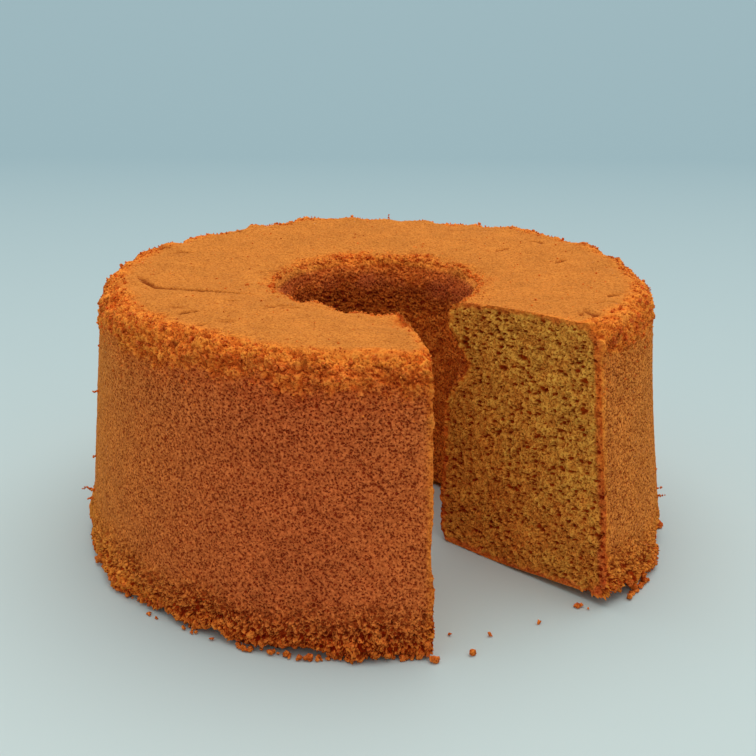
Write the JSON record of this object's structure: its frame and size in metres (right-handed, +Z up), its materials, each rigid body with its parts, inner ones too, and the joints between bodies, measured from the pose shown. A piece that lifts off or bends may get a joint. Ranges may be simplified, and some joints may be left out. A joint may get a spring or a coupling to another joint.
{
  "type": "chiffon cake",
  "caption": "Tall ring-shaped chiffon sponge cake with a round central hole and one slice cut out, browned crust outside and pale porous crumb inside.",
  "frame": {"origin": "on the axis of the cake's ring, in the flat face that it stands on, which is the wide end", "axes": "+Z up along the axis of the ring; the missing slice opens towards -Y, between 9.6 and 45.8 degrees from -Y towards +X"},
  "size_m": [0.1752, 0.1765, 0.0793],
  "materials": {
    "browned_crust": "matt, porous golden brown sponge crust",
    "cut_crumb": "matt, open olive brown crumb on the two cut faces"
  },
  "bodies": {
    "root": {"chiffon_cake": "browned_crust"}
  },
  "joints": []
}
